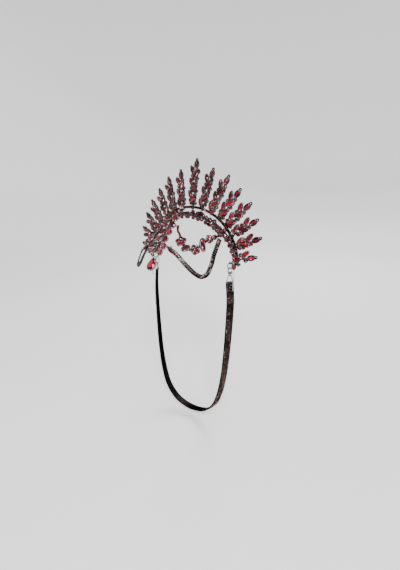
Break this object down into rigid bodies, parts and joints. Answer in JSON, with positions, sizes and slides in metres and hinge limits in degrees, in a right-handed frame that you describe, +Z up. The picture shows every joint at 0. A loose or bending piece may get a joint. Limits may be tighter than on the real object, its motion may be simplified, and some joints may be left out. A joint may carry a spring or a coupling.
{
  "type": "bridal crown",
  "caption": "Halo bridal crown of jewelled leaf sprays with a brow band, forehead frontlet and pear pendant, side swags and a clasped chin strap.",
  "frame": {"origin": "underside of the brow band at its top middle, where the crown sits on the head", "axes": "+Z up, -Y the way the wearer looks, +X the wearer's left"},
  "size_m": [0.2368, 0.1094, 0.418],
  "materials": {
    "gunmetal": "dark gunmetal plating, bright on its edges, with ruby stones",
    "ruby": "foil-backed faceted crystal, ruby",
    "ruby_chain": "rows of small ruby crystals in dark metal cups"
  },
  "bodies": {
    "crown": {"brow_band": "gunmetal", "chin_strap": "ruby_chain", "clasp_body": "gunmetal", "end_drop_l": "gunmetal", "end_drop_r": "gunmetal", "end_ring_l": "gunmetal", "end_ring_r": "gunmetal", "front_stone_l1": "ruby", "front_stone_l2": "ruby", "front_stone_l3": "ruby", "front_stone_l4": "ruby", "front_stone_l5": "ruby", "front_stone_l6": "ruby", "front_stone_r1": "ruby", "front_stone_r2": "ruby", "front_stone_r3": "ruby", "front_stone_r4": "ruby", "front_stone_r5": "ruby", "front_stone_r6": "ruby", "frontlet": "gunmetal", "garland_l": "gunmetal", "garland_r": "gunmetal", "halo_wire": "gunmetal", "link_ring_r": "gunmetal", "spray_0": "gunmetal", "spray_l1": "gunmetal", "spray_l2": "gunmetal", "spray_l3": "gunmetal", "spray_l4": "gunmetal", "spray_l5": "gunmetal", "spray_l6": "gunmetal", "spray_l7": "gunmetal", "spray_r1": "gunmetal", "spray_r2": "gunmetal", "spray_r3": "gunmetal", "spray_r4": "gunmetal", "spray_r5": "gunmetal", "spray_r6": "gunmetal", "spray_r7": "gunmetal", "strap_loop_l": "gunmetal", "strap_loop_r": "gunmetal", "swag_l": "ruby_chain", "swag_r": "ruby_chain"},
    "pendant": {"pendant_ring": "gunmetal", "pendant_setting": "gunmetal", "pendant_stone": "ruby"},
    "lever": {"clasp_lever": "gunmetal"}
  },
  "joints": [
    {"name": "pendant_swing", "type": "hinge", "parent": "crown", "child": "pendant", "pos_m": [0, -0.07161, -0.05133], "axis": [1, 0, 0], "range_deg": [-90, 60]},
    {"name": "clasp_lever_swing", "type": "hinge", "parent": "crown", "child": "lever", "pos_m": [0.07549, 0.00685, -0.0805], "axis": [-0.0872, -0.9962, 0], "range_deg": [0, 28], "stiffness_Nm_per_rad": 0.0005}
  ]
}
